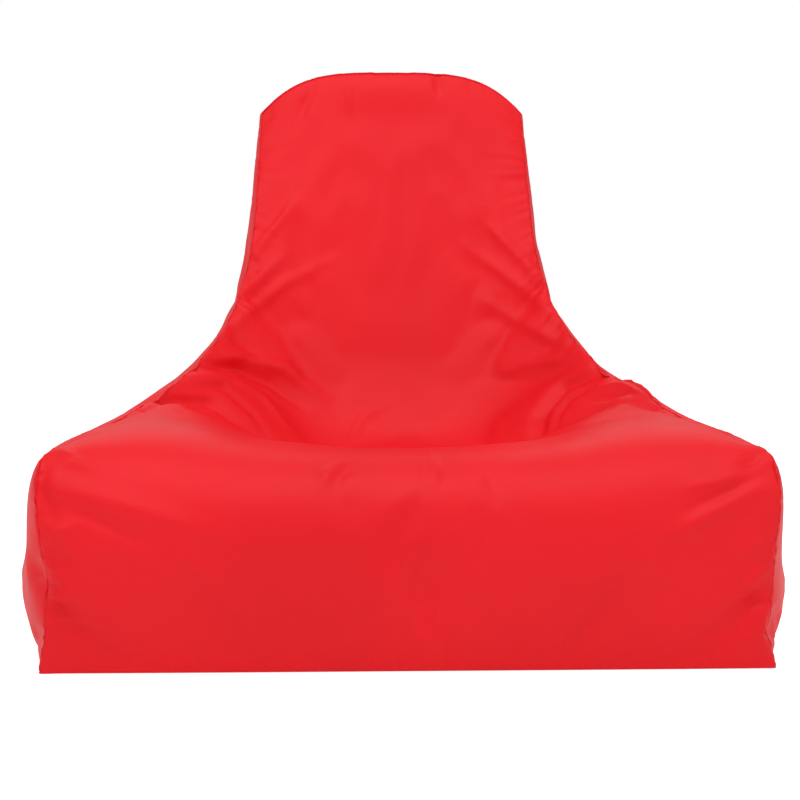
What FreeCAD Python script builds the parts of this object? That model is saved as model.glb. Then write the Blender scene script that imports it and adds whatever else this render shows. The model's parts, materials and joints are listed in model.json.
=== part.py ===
"""Lounge bean bag chair in faux leather: a wide front roll, a hollow seat, two arms, and a tall narrow back.

The cover is sewn from seven panels that meet along the edges of a deformed box: one long panel runs from the
front hem over the seat to the top of the back, one boxing panel closes each side, a strip closes the top, two
panels make the rear around a horizontal zip, and one panel is the base. A thin liner of the same seven panels,
with a zip of its own, hangs inside the cover and holds the polystyrene beads. A grab loop is sewn into the top
rear seam and a blank care label into a rear side seam.

Frame: millimetres, +Z up, the front faces -Y, the origin is under the middle of the bag on the floor.
"""
import FreeCAD, Part
import math
import os
import Sketcher
from FreeCAD import Placement, Rotation, Vector

OUT = "parts"

# ------------------------------------------------------------------ driving dimensions
DIMENSIONS = [
    # alias, value, meaning
    ("hem_width", 900.0, "seam to seam across the front hem"),
    ("bag_depth", 800.0, "front hem to rear hem"),
    ("bag_height", 776.0, "floor to the top seam"),
    ("frame_shift", 5.8, "moves the bag along Y so that its box is centred on the origin"),
    ("skin", 1.2, "thickness of the cover's faux leather"),
    ("liner_inset", 2.4, "outer face of the cover to the liner"),
    ("liner_skin", 0.4, "thickness of the liner's nonwoven cloth"),
    ("fill_inset", 3.4, "outer face of the cover to the beads"),
    ("rear_liner_inset", 7.0, "the same behind the zips, where the liner hangs slack"),
    ("rear_fill_inset", 10.0, "the same behind the zips"),
    ("seam_gap", 0.4, "slit between the rear panels beyond the zip's ends"),
    ("cover_zip_height", 100.0, "floor to the middle of the cover's zip"),
    ("liner_zip_height", 150.0, "floor to the middle of the liner's zip"),
    ("zip_length", 620.0, "slot that the zip closes"),
    ("coil_length", 608.0, "both rows of the nylon coil"),
    ("tape_length", 644.0, "both tapes, whose ends are sewn behind the rear panels"),
    ("zip_slot", 14.0, "height of the slot between the rear panels"),
    ("tape_width", 15.0, "one zip tape"),
    ("tape_thick", 0.6, "one zip tape"),
    ("tape_gap", 1.6, "between the two tapes' edges"),
    ("coil_width", 2.8, "one row of the nylon coil"),
    ("coil_thick", 2.0, "one row of the nylon coil"),
    ("coil_gap", 1.2, "between the two rows, where the slider's post runs"),
    ("slider_length", 12.0, "along the zip"),
    ("slider_width", 10.0, "across the zip"),
    ("plate_thick", 1.1, "each plate of the slider"),
    ("slip", 0.3, "clearance between the slider and the chain"),
    ("slider_rest", 298.0, "middle of the zip to the middle of the closed slider"),
    ("rail_width", 1.0, "the slider's two side flanges"),
    ("post_shift", 2.0, "the slider's post, towards its closed end"),
    ("bail_width", 2.0, "the slider's bail, across the zip"),
    ("bail_length", 7.6, "the slider's bail, along the zip"),
    ("bail_bar", 1.2, "thickness of the bail"),
    ("bail_clear", 2.4, "height of the eye under the bail"),
    ("tab_length", 34.0, "pull tab"),
    ("tab_width", 8.0, "pull tab"),
    ("tab_thick", 1.0, "pull tab"),
    ("tab_bar", 1.4, "width of the tab's bar, which runs in the bail"),
    ("tab_window", 4.6, "width of the window round the bail"),
    ("tab_window_length", 7.0, "length of the window round the bail"),
    ("tab_grip", 3.6, "width of the slot near the tab's tip"),
    ("tab_grip_length", 9.0, "length of the slot near the tab's tip"),
    ("tab_grip_reach", 24.0, "the tab's bar to the middle of that slot"),
    ("stop_length", 4.0, "one crimped zip stop"),
    ("stop_start", 304.5, "middle of the zip to the near end of a stop"),
    ("loop_width", 40.0, "grab loop strap"),
    ("loop_thick", 2.4, "grab loop strap, two layers of faux leather"),
    ("loop_reach", 92.0, "root of the grab loop to the centre of its round end"),
    ("loop_round", 13.0, "inside radius of the grab loop's round end"),
    ("loop_root", 4.0, "hinge line of the grab loop to its sewn end"),
    ("loop_stitched", 16.0, "length over which the grab loop's two ends are stitched together"),
    ("loop_drop", 58.0, "angle of the hanging grab loop below the horizontal"),
    ("loop_rise", 4.0, "hinge line of the grab loop above the top seam"),
    ("label_width", 38.0, "care label, away from its seam"),
    ("label_height", 52.0, "care label, along its seam"),
    ("label_thick", 0.5, "care label, folded double"),
    ("label_low", 34.0, "floor to the care label's lower edge"),
    ("label_out", 1.2, "the rear side seam to the care label's fold line"),
    ("label_root", 0.8, "the care label's fold line to its near edge"),
    ("label_angle", 15.0, "the resting care label, turned from +X towards +Y"),
]

# Control rows from the front hem, over the roll, arms and back, to the top seam. They are drawn for a bag of
# NOMINAL size and stretched to the sheet's size. The surfaces are cubic B-splines that follow these rows.
NOMINAL = Vector(900.0, 800.0, 776.0)

# Middle of the long front panel: (y, z)
SEAT_LINE = [
    (-400, 0), (-420, 60), (-432, 130), (-428, 195), (-404, 242), (-354, 264),      # front face and roll
    (-290, 266), (-215, 250), (-120, 222), (-30, 206), (45, 220),                   # seat hollow
    (102, 272), (138, 350), (166, 440), (194, 545), (226, 655), (262, 776),         # back, to the top seam
]
# Seam between the front panel and a side panel: (half width, y, z)
ARM_SEAM = [
    (450, -398, 0), (440, -404, 60), (443, -410, 125), (450, -412, 190), (454, -406, 240), (446, -386, 268),
    (424, -328, 280), (390, -240, 288), (350, -128, 306), (302, -36, 334), (265, 44, 368),
    (240, 100, 406), (222, 136, 450), (209, 164, 505), (203, 195, 575), (200, 230, 650), (199, 260, 720),
]
# How much the arms and the roll swell above the straight blend between those two lines
ARM_SWELL = [0, 0, 0, 2, 6, 14, 26, 36, 38, 34, 24, 14, 6, 2, 0, 0, 0]

# Middle of the rear: (y, z). It is a plane up to the seventh row, so that the zip runs straight.
SPINE_LINE = [
    (400, 0), (400, 35), (400, 70), (400, 105), (400, 140), (400, 175), (400, 215),
    (407, 260), (414, 305), (418, 355), (418, 405), (414, 460), (406, 515), (393, 575), (374, 637),
    (347, 705), (318, 772),
]
# Seam between the rear and a side panel: (half width, y, z)
REAR_SEAM = [
    (440, 400, 0), (441, 400, 35), (440, 400, 70), (437, 400, 105), (431, 400, 140), (418, 400, 175),
    (396, 400, 212), (358, 402, 252), (314, 404, 295), (278, 405, 340), (248, 404, 388), (227, 400, 440),
    (214, 394, 492),
    (206, 384, 546), (201, 368, 600), (198, 344, 657), (199, 314, 714),
]
# Share of the slack behind the zips that each row of the rear keeps
REAR_SLACK = [1, 1, 1, 1, 1, 1, 1, 1, 0.8, 0.5, 0.2, 0, 0, 0, 0, 0, 0]
# How far a side panel bulges outward between its two seams
SIDE_BULGE = [10, 46, 54, 48, 36, 22, 16, 13, 11, 10, 9, 9, 10, 10, 9, 7, 4]
TOP_BULGE = 8.0

# Where the control columns stand: in shares of the half width, and from the front seam to the rear seam
ACROSS = [-1.0, -0.93, -0.8, -0.62, -0.42, -0.2, 0.0, 0.2, 0.42, 0.62, 0.8, 0.93, 1.0]
ALONG = [0.0, 0.12, 0.32, 0.5, 0.68, 0.88, 1.0]


# ------------------------------------------------------------------ the bag's control grids
def stretched(x, y, z, size):
    """A point of the nominal bag, at the sheet's size."""
    return Vector(x * size.x / NOMINAL.x, y * size.y / NOMINAL.y, z * size.z / NOMINAL.z)


def crossing(middle, seam, share, swell):
    """A point between the middle line (share 0) and the side seam (share 1 or -1)."""
    blend = abs(share) ** 4
    hump = math.sin(math.pi * min(1.0, max(0.0, (abs(share) - 0.4) / 0.6)))
    y = middle[0] + (seam[1] - middle[0]) * blend
    z = middle[1] + (seam[2] - middle[1]) * blend + swell * hump
    return seam[0] * share, y, z


def boxing(front, rear, bulge, share):
    """A point of a side panel, between its front seam (share 0) and its rear seam (share 1)."""
    x, y, z = (f + (r - f) * share for f, r in zip(front, rear))
    return x + bulge * (1.0 - (2.0 * share - 1.0) ** 4), y, z


def bag_grids(size):
    """The bag's six control grids, each a list of rows of points. Neighbours share their border rows."""
    rows = range(len(SEAT_LINE))
    front = [
        [stretched(*crossing(SEAT_LINE[i], ARM_SEAM[i], u, ARM_SWELL[i]), size) for u in ACROSS] for i in rows
    ]
    rear = [[stretched(*crossing(SPINE_LINE[i], REAR_SEAM[i], u, 0.0), size) for u in ACROSS] for i in rows]
    right = [
        [stretched(*boxing(ARM_SEAM[i], REAR_SEAM[i], SIDE_BULGE[i], s), size) for s in ALONG] for i in rows
    ]
    left = [[Vector(-p.x, p.y, p.z) for p in row] for row in right]
    base = [ruled(front[0][k], rear[0][k], k, left[0], right[0], 0.0) for k in range(len(ACROSS))]
    top = [ruled(front[-1][k], rear[-1][k], k, left[-1], right[-1], TOP_BULGE) for k in range(len(ACROSS))]
    return {"front": front, "rear": rear, "left": left, "right": right, "base": base, "top": top}


def ruled(front_point, rear_point, k, left_border, right_border, rise):
    """One row of the base or top grid, from the front seam to the rear seam, that keeps the side borders."""
    if k == 0:
        return list(left_border)
    if k == len(ACROSS) - 1:
        return list(right_border)
    edge = abs(ACROSS[k]) ** 4
    row = []
    for n, share in enumerate(ALONG):
        point = front_point + (rear_point - front_point) * share
        border = right_border[n] - (right_border[0] + (right_border[-1] - right_border[0]) * share)
        side = 1.0 if ACROSS[k] > 0 else -1.0
        point = point + Vector(side * border.x * edge, border.y * edge, border.z * edge)
        row.append(point + Vector(0, 0, rise * 4.0 * share * (1.0 - share) * (1.0 - edge)))
    return row


# +1 where (along the row) x (towards the next row) points out of the bag, and -1 where it points in
OUTWARD = {"front": 1.0, "rear": -1.0, "left": -1.0, "right": 1.0, "base": 1.0, "top": -1.0}


def grid_normal(grid, i, k, sign):
    """Outward unit normal of a control grid at row i, column k."""
    low_i, high_i = max(i - 1, 0), min(i + 1, len(grid) - 1)
    low_k, high_k = max(k - 1, 0), min(k + 1, len(grid[0]) - 1)
    along = grid[i][high_k] - grid[i][low_k]
    onward = grid[high_i][k] - grid[low_i][k]
    return along.cross(onward).normalize() * sign


def mitre(normals):
    """The move that takes a point inward by each panel's inset at once, from [(normal, inset), ...]."""
    (a, ta) = normals[0]
    if len(normals) == 1:
        return a * -ta
    if len(normals) > 2:
        (b, tb), (c, tc) = normals[1], normals[2]
        solid_angle = a.dot(b.cross(c))
        if abs(solid_angle) > 0.2:
            return (b.cross(c) * ta + c.cross(a) * tb + a.cross(b) * tc) * (-1.0 / solid_angle)
    (b, tb) = normals[1]
    cosine = a.dot(b)
    if cosine > 0.95:
        return (a + b).normalize() * (-0.5 * (ta + tb))
    scale = 1.0 / (1.0 - cosine * cosine)
    return a * ((tb * cosine - ta) * scale) + b * ((ta * cosine - tb) * scale)


def inset_grids(grids, inset, rear_inset):
    """The same six grids moved inward, so that they still share their border rows."""
    meeting = {}
    for name, grid in grids.items():
        for i, row in enumerate(grid):
            depth = inset + (rear_inset - inset) * REAR_SLACK[i] if name == "rear" else inset
            for k, point in enumerate(row):
                key = (round(point.x, 3), round(point.y, 3), round(point.z, 3))
                meeting.setdefault(key, []).append((grid_normal(grid, i, k, OUTWARD[name]), depth))
    moves = {key: mitre(normals) for key, normals in meeting.items()}
    return {
        name: [[p + moves[(round(p.x, 3), round(p.y, 3), round(p.z, 3))] for p in row] for row in grid]
        for name, grid in grids.items()
    }


# ------------------------------------------------------------------ solids from control grids
def knots_of(count):
    """Degree, knots and multiplicities of a clamped uniform B-spline with that many control points."""
    degree = min(3, count - 1)
    spans = count - degree
    return degree, list(range(spans + 1)), [degree + 1] + [1] * (spans - 1) + [degree + 1]


def grid_face(grid):
    if all(abs(point.z - grid[0][0].z) < 1e-6 for row in grid for point in row):
        return flat_face(grid)
    surface = Part.BSplineSurface()
    du, ku, mu = knots_of(len(grid))
    dv, kv, mv = knots_of(len(grid[0]))
    surface.buildFromPolesMultsKnots(grid, mu, mv, ku, kv, False, False, du, dv)
    return surface.toShape()


def flat_face(grid):
    """The plane face inside a level grid's border."""
    borders = [grid[0], [row[-1] for row in grid], grid[-1], [row[0] for row in grid]]
    edges = []
    for border in borders:
        degree, knots, multiplicities = knots_of(len(border))
        curve = Part.BSplineCurve()
        curve.buildFromPolesMultsKnots(border, multiplicities, knots, False, degree)
        edges.append(curve.toShape())
    return Part.Face(Part.Wire(Part.__sortEdges__(edges)))


def closed(faces):
    """A solid from faces that share their borders."""
    shell = Part.makeShell(faces)
    shell.sewShape()
    solid = Part.makeSolid(shell)
    if solid.Volume < 0:
        solid.reverse()
    return solid


def panel_block(outer, inner):
    """A panel of cloth between an outer and an inner control grid, mitred along its borders."""
    borders = [
        (outer[0], inner[0]),
        (outer[-1], inner[-1]),
        ([row[0] for row in outer], [row[0] for row in inner]),
        ([row[-1] for row in outer], [row[-1] for row in inner]),
    ]
    return closed([grid_face(outer), grid_face(inner)] + [grid_face(list(pair)) for pair in borders])


def slab(low, high):
    """A box between two corners."""
    size = high - low
    return Part.makeBox(size.x, size.y, size.z, low)


# ------------------------------------------------------------------ the document
doc = FreeCAD.newDocument("bean_bag_chair")
sheet = doc.addObject("Spreadsheet::Sheet", "Sizes")
for row_number, (alias, value, meaning) in enumerate(DIMENSIONS, start=1):
    sheet.set(f"A{row_number}", alias)
    sheet.set(f"B{row_number}", str(value))
    sheet.set(f"C{row_number}", meaning)
    sheet.setAlias(f"B{row_number}", alias)
doc.recompute()
pieces = []


def cell(alias):
    return float(getattr(sheet, alias))


def keep(piece, label):
    """Names a sub-part. Its label is the name of its file."""
    piece.Label = label
    pieces.append(piece)
    return piece


def soft_piece(label, shape):
    """A sub-part whose free-form shape no sketch can drive."""
    piece = doc.addObject("Part::Feature", label)
    piece.Shape = shape
    piece.Placement = Placement(Vector(0, cell("frame_shift"), 0), Rotation())
    return keep(piece, label)


# ------------------------------------------------------------------ cover, liner and beads
def split_rear(block, height, y_outer):
    """The rear panel cut into an upper and a lower panel along the zip's slot and the seam beyond it."""
    half_length = cell("zip_length") / 2
    half_slot = cell("zip_slot") / 2
    half_gap = cell("seam_gap") / 2
    reach = cell("hem_width")
    near, far = y_outer - 20.0, y_outer + 20.0
    slot = slab(Vector(-half_length, near, height - half_slot), Vector(half_length, far, height + half_slot))
    seam = slab(Vector(-reach, near, height - half_gap), Vector(reach, far, height + half_gap))
    halves = sorted(block.cut(slot.fuse(seam)).Solids, key=lambda solid: solid.CenterOfMass.z)
    return halves[0], halves[-1]


def panel_set(prefix, outer, inner, zip_height, y_outer):
    """The seven panels of the cover or of the liner."""
    for side in ("front", "left", "right", "base", "top"):
        soft_piece(f"{prefix}_{side}_panel", panel_block(outer[side], inner[side]))
    lower, upper = split_rear(panel_block(outer["rear"], inner["rear"]), zip_height, y_outer)
    soft_piece(f"{prefix}_rear_lower_panel", lower)
    soft_piece(f"{prefix}_rear_upper_panel", upper)


bag_size = Vector(cell("hem_width"), cell("bag_depth"), cell("bag_height"))
rear_plane = bag_size.y / 2
outside = bag_grids(bag_size)
cover_inside = inset_grids(outside, cell("skin"), cell("skin"))
panel_set("cover", outside, cover_inside, cell("cover_zip_height"), rear_plane)

liner_outside = inset_grids(outside, cell("liner_inset"), cell("rear_liner_inset"))
liner_inside = inset_grids(
    outside, cell("liner_inset") + cell("liner_skin"), cell("rear_liner_inset") + cell("liner_skin")
)
liner_rear_plane = rear_plane - cell("rear_liner_inset")
panel_set("liner", liner_outside, liner_inside, cell("liner_zip_height"), liner_rear_plane)

fill_grids = inset_grids(outside, cell("fill_inset"), cell("rear_fill_inset"))
soft_piece("bead_fill", closed([grid_face(grid) for grid in fill_grids.values()]))


# ------------------------------------------------------------------ sketch helpers
def origin_plane(body, role):
    return next(f for f in body.Origin.OriginFeatures if f.Role == role)


def new_body(label):
    body = doc.addObject("PartDesign::Body", label)
    return keep(body, label)


def new_sketch(body, name, role, lift=None):
    """A sketch on one of the body's own origin planes, lifted along its normal by an expression."""
    sketch = body.newObject("Sketcher::SketchObject", name)
    sketch.AttachmentSupport = (origin_plane(body, role), [""])
    sketch.MapMode = "FlatFace"
    if lift:
        sketch.setExpression(".AttachmentOffset.Base.z", lift)
    return sketch


def rectangle(sketch, centre_x, centre_y, width, height):
    """A rectangle in a sketch: its centre is a pair of numbers, and its sides are bound to expressions."""
    first = sketch.GeometryCount
    corners = [(-1, -1), (1, -1), (1, 1), (-1, 1)]
    points = [Vector(centre_x + x, centre_y + y, 0) for x, y in corners]
    for n in range(4):
        sketch.addGeometry(Part.LineSegment(points[n], points[(n + 1) % 4]), False)
    for n in range(4):
        sketch.addConstraint(Sketcher.Constraint("Coincident", first + n, 2, first + (n + 1) % 4, 1))
    for n, kind in enumerate(["Horizontal", "Vertical", "Horizontal", "Vertical"]):
        sketch.addConstraint(Sketcher.Constraint(kind, first + n))
    centre = sketch.addGeometry(Part.Point(Vector(centre_x, centre_y, 0)), True)
    sketch.addConstraint(Sketcher.Constraint("Symmetric", first, 1, first + 1, 2, centre, 1))
    for kind, value in (("DistanceX", centre_x), ("DistanceY", centre_y)):
        if abs(value) < 1e-9:
            axis = -2 if kind == "DistanceX" else -1
            sketch.addConstraint(Sketcher.Constraint("PointOnObject", centre, 1, axis))
        elif value > 0:
            sketch.addConstraint(Sketcher.Constraint(kind, -1, 1, centre, 1, value))
        else:
            sketch.addConstraint(Sketcher.Constraint(kind, centre, 1, -1, 1, -value))
    side_x = sketch.addConstraint(Sketcher.Constraint("DistanceX", first, 1, first, 2, 2.0))
    side_y = sketch.addConstraint(Sketcher.Constraint("DistanceY", first + 1, 1, first + 1, 2, 2.0))
    sketch.setExpression(f"Constraints[{side_x}]", width)
    sketch.setExpression(f"Constraints[{side_y}]", height)


def pad(body, sketch, name, length, midplane=False):
    feature = body.newObject("PartDesign::Pad", name)
    feature.Profile = sketch
    feature.SideType = "Symmetric" if midplane else "One side"
    feature.setExpression("Length", length)
    doc.recompute()
    return feature


def pocket_through(body, sketch, name):
    """Cuts the sketch right through the body, both ways."""
    feature = body.newObject("PartDesign::Pocket", name)
    feature.Profile = sketch
    before = body.Shape.Volume
    feature.Type = "ThroughAll"
    feature.SideType = "Symmetric"
    doc.recompute()
    if body.Shape.Volume >= before:
        raise RuntimeError(f"{name} cut nothing")
    return feature


def round_uprights(body, name, length, radius, beyond=None):
    """Rounds the body's straight edges along z of that length, or only those whose x is below `beyond`."""
    edges = [
        f"Edge{n}"
        for n, edge in enumerate(body.Shape.Edges, start=1)
        if abs(edge.BoundBox.ZLength - edge.Length) < 1e-4
        and abs(edge.Length - length) < 0.01
        and (beyond is None or edge.CenterOfMass.x < beyond)
    ]
    base = body.Tip
    rounding = body.newObject("PartDesign::Fillet", name)
    rounding.Base = (base, edges)
    rounding.Radius = radius
    doc.recompute()
    return rounding


# ------------------------------------------------------------------ zips
# A zip is modelled lying flat: x along it, y across it and down the bag, z out of the bag. z = 0 is the
# tapes' outer face. This placement then stands it against the rear plane.
def zip_place(x, height, depth):
    """Placement of a zip's piece: x along the zip, at that height, and that far inside the rear plane."""
    y = rear_plane - depth + cell("frame_shift")
    return Placement(Vector(x, y, height), Rotation(Vector(1, 0, 0), -90))


def zip_bar(label, across, length, width, thick, low, place):
    """A straight tape or coil row. across, width, thick and low are expressions; across is its middle."""
    bar = doc.addObject("Part::Box", label)
    bar.setExpression("Length", length)
    bar.setExpression("Width", width)
    bar.setExpression("Height", thick)
    doc.recompute()
    local = Placement(Vector(-bar.Length.Value / 2, across - bar.Width.Value / 2, low), Rotation())
    bar.Placement = place.multiply(local)
    return bar


def coil_row(label, side, place):
    """One row of the nylon coil, its long outer edges rounded."""
    across = side * (cell("coil_gap") + cell("coil_width")) / 2
    sizes = ("Sizes.coil_length", "Sizes.coil_width", "Sizes.coil_thick")
    bar = zip_bar(f"{label}_bar", across, *sizes, 0.05, place)
    rounded = doc.addObject("Part::Fillet", label)
    rounded.Base = bar
    outer_face = place.multVec(Vector(0, 0, 0.05 + cell("coil_thick"))).y
    edges = [
        n
        for n, edge in enumerate(bar.Shape.Edges, start=1)
        if edge.Length > cell("zip_length") / 2 and abs(edge.CenterOfMass.y - outer_face) < 0.01
    ]
    radius = cell("coil_width") * 0.32
    rounded.Edges = [(n, radius, radius) for n in edges]
    return keep(rounded, label)


def slider(label, place, lug_only):
    """A slider: two plates, a post between the rows, two flanges, and a bail or a lug on its outer plate."""
    body = new_body(label)
    slip = "Sizes.slip"
    under = new_sketch(body, f"{label}_under", "XY_Plane", f"-Sizes.tape_thick - {slip} - Sizes.plate_thick")
    rectangle(under, 0, 0, "Sizes.slider_length", "Sizes.slider_width - 1")
    pad(body, under, f"{label}_under_plate", "Sizes.plate_thick")
    round_uprights(body, f"{label}_under_rounding", cell("plate_thick"), 2.0)
    post = new_sketch(body, f"{label}_post_sketch", "XY_Plane", f"-Sizes.tape_thick - {slip}")
    rectangle(post, cell("post_shift"), 0, "Sizes.slider_length * 0.45", "Sizes.coil_gap * 0.55")
    pad(body, post, f"{label}_post", f"Sizes.tape_thick + Sizes.coil_thick + 2 * {slip}")
    over = new_sketch(body, f"{label}_over", "XY_Plane", f"Sizes.coil_thick + {slip}")
    rectangle(over, 0, 0, "Sizes.slider_length", "Sizes.slider_width")
    pad(body, over, f"{label}_over_plate", "Sizes.plate_thick")
    rail_across = (cell("slider_width") - cell("rail_width")) / 2 - 0.1
    for side, word in ((-1, "upper"), (1, "lower")):
        rail = new_sketch(body, f"{label}_{word}_rail_sketch", "XY_Plane", f"{slip}")
        rectangle(rail, 0, side * rail_across, "Sizes.slider_length", "Sizes.rail_width")
        pad(body, rail, f"{label}_{word}_rail", "Sizes.coil_thick")
    top_of_plate = f"Sizes.coil_thick + {slip} + Sizes.plate_thick"
    bail = new_sketch(body, f"{label}_bail_sketch", "XY_Plane", top_of_plate)
    rectangle(bail, 0, 0, "Sizes.bail_length", "Sizes.bail_width")
    if lug_only:
        pad(body, bail, f"{label}_lug", "Sizes.bail_bar")
    else:
        pad(body, bail, f"{label}_bail", "Sizes.bail_clear + Sizes.bail_bar")
        eye = new_sketch(body, f"{label}_eye_sketch", "XZ_Plane")
        middle = cell("coil_thick") + cell("slip") + cell("plate_thick") + cell("bail_clear") / 2
        rectangle(eye, 0, middle, "Sizes.bail_length - 2 * Sizes.bail_bar", "Sizes.bail_clear")
        pocket_through(body, eye, f"{label}_eye")
    body.Placement = place
    return body


def pull_tab(label, place):
    """A pull tab that lies along -x. Its bar, round the origin, runs through the slider's bail."""
    half_bar = cell("tab_bar") / 2
    body = new_body(label)
    outline = new_sketch(body, f"{label}_outline", "XY_Plane")
    rectangle(outline, half_bar - cell("tab_length") / 2, 0, "Sizes.tab_length", "Sizes.tab_width")
    pad(body, outline, f"{label}_plate", "Sizes.tab_thick", midplane=True)
    window = new_sketch(body, f"{label}_window_sketch", "XY_Plane")
    window_middle = -half_bar - cell("tab_window_length") / 2
    rectangle(window, window_middle, 0, "Sizes.tab_window_length", "Sizes.tab_window")
    pocket_through(body, window, f"{label}_window")
    grip = new_sketch(body, f"{label}_grip_sketch", "XY_Plane")
    rectangle(grip, -cell("tab_grip_reach"), 0, "Sizes.tab_grip_length", "Sizes.tab_grip")
    pocket_through(body, grip, f"{label}_grip_slot")
    tip = 2.0 - cell("tab_length")
    round_uprights(body, f"{label}_rounding", cell("tab_thick"), cell("tab_width") * 0.3, beyond=tip)
    body.Placement = place
    return body


def stop_pair(label, x, place):
    """Two crimped stops, one on each tape edge, as a group."""
    blocks = []
    for side, word in ((-1, "upper"), (1, "lower")):
        block = doc.addObject("Part::Box", f"{label}_{word}")
        block.setExpression("Length", "Sizes.stop_length")
        block.setExpression("Width", "Sizes.coil_width")
        block.setExpression("Height", "Sizes.coil_thick * 1.2")
        doc.recompute()
        low_y = side * (cell("coil_gap") + cell("coil_width")) / 2 - block.Width.Value / 2
        block.Placement = place.multiply(Placement(Vector(x, low_y, 0.05), Rotation()))
        blocks.append(block)
    pair = doc.addObject("Part::Compound", label)
    pair.Links = blocks
    return keep(pair, label)


def zip_fastener(prefix, height, depth, with_tab):
    """A whole zip: tapes, coil rows, stops, slider and, on the cover, its pull tab."""
    place = zip_place(0.0, height, depth)
    half_tape = (cell("tape_gap") + cell("tape_width")) / 2
    for side, word in ((-1, "upper"), (1, "lower")):
        tape = zip_bar(
            f"{prefix}_zip_{word}_tape", side * half_tape, "Sizes.tape_length", "Sizes.tape_width",
            "Sizes.tape_thick", -cell("tape_thick"), place,
        )
        keep(tape, f"{prefix}_zip_{word}_tape")
        coil_row(f"{prefix}_zip_{word}_coil", side, place)
    stop_pair(f"{prefix}_zip_end_stops", cell("stop_start"), place)
    stop_pair(f"{prefix}_zip_start_stops", -cell("stop_start") - cell("stop_length"), place)
    slider_place = zip_place(cell("slider_rest"), height, depth)
    slider(f"{prefix}_zip_slider", slider_place, lug_only=not with_tab)
    if with_tab:
        pin = cell("coil_thick") + cell("slip") + cell("plate_thick") + cell("bail_clear") / 2
        pull_tab(f"{prefix}_zip_pull_tab", slider_place.multiply(Placement(Vector(0, 0, pin), Rotation())))


zip_fastener("cover", cell("cover_zip_height"), cell("skin") + 0.1, with_tab=True)
liner_depth = cell("rear_liner_inset") + cell("liner_skin") + 0.1
zip_fastener("liner", cell("liner_zip_height"), liner_depth, with_tab=False)


# ------------------------------------------------------------------ grab loop and care label
def teardrop(reach, end_radius, start, half_start, y):
    """A closed wire parallel to XZ: a round end at x = reach, and straight legs back to x = start."""
    legs = reach - start
    slant = math.hypot(legs, half_start)
    angle = math.asin(end_radius / slant) - math.atan2(half_start, legs)
    touch = Vector(reach - end_radius * math.sin(angle), y, end_radius * math.cos(angle))
    far = Vector(reach + end_radius, y, 0)
    mirrored = Vector(touch.x, y, -touch.z)
    edges = [Part.LineSegment(Vector(start, y, half_start), touch).toShape()]
    edges.append(Part.Arc(touch, far, mirrored).toShape())
    edges.append(Part.LineSegment(mirrored, Vector(start, y, -half_start)).toShape())
    if half_start:
        edges.append(Part.LineSegment(Vector(start, y, -half_start), Vector(start, y, half_start)).toShape())
    return Part.Wire(edges)


def grab_loop(place):
    """A strap folded back on itself, its width along the seam, hanging from the seam."""
    thick, width, root = cell("loop_thick"), cell("loop_width"), cell("loop_root")
    across = Vector(0, width, 0)
    outer = teardrop(cell("loop_reach"), cell("loop_round") + thick, root, thick, -width / 2)
    gap = teardrop(cell("loop_reach"), cell("loop_round"), root + cell("loop_stitched"), 0.0, -width / 2)
    piece = doc.addObject("Part::Feature", "grab_loop")
    piece.Shape = Part.Face(outer).extrude(across).cut(Part.Face(gap).extrude(across))
    piece.Placement = place
    return keep(piece, "grab_loop")


seam_middle = outside["rear"][-1][len(ACROSS) // 2]
loop_axis = Vector(0, seam_middle.y + cell("frame_shift") + 2.0, seam_middle.z + cell("loop_rise"))
# The loop is drawn along +x with its width along y: turn it to hang down the rear, its width along the seam.
loop_turn = Rotation(Vector(1, 0, 0), -cell("loop_drop")).multiply(Rotation(Vector(0, 0, 1), 90))
grab_loop(Placement(loop_axis, loop_turn))


def care_label(label, seam_point):
    """A blank label folded double, sewn into the rear side seam along one upright edge."""
    body = doc.addObject("Part::Box", label)
    body.setExpression("Length", "Sizes.label_width")
    body.setExpression("Width", "Sizes.label_thick")
    body.setExpression("Height", "Sizes.label_height")
    fold_line = Vector(seam_point.x + cell("label_out"), seam_point.y + cell("frame_shift"), cell("label_low"))
    turned = Placement(fold_line, Rotation(Vector(0, 0, 1), cell("label_angle")))
    local = Placement(Vector(cell("label_root"), -cell("label_thick") / 2, 0), Rotation())
    body.Placement = turned.multiply(local)
    keep(body, label)
    return fold_line


label_line = care_label("care_label", outside["rear"][1][-1])

# ------------------------------------------------------------------ checks and files
doc.recompute()
for item in doc.Objects:
    if "Invalid" in item.State or "Error" in item.State:
        raise RuntimeError(f"{item.Label} failed: {item.State}")
os.makedirs(OUT, exist_ok=True)
whole = FreeCAD.BoundBox()
for piece in pieces:
    if piece.Shape.isNull() or not piece.Shape.isValid():
        raise RuntimeError(f"{piece.Label} has no valid shape")
    whole.add(piece.Shape.BoundBox)
    piece.Shape.exportStep(f"{OUT}/{piece.Label}.step")
    print(f"{piece.Label:30s} {piece.Shape.Volume / 1000:12.2f} cm3  {len(piece.Shape.Solids)} solids")
print("pieces", len(pieces), "box", whole)
print("grab loop hinge line", loop_axis, "care label fold line", label_line)
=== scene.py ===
"""The looks of a lounge bean bag chair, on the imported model's frame.

The cover is worked out as one closed bag on the control rows of the CAD model, wrinkled by a cloth
simulation, creased, and cut into its sewn panels. The liner and the beads follow the surface further in.
"""
import json
import math

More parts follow.
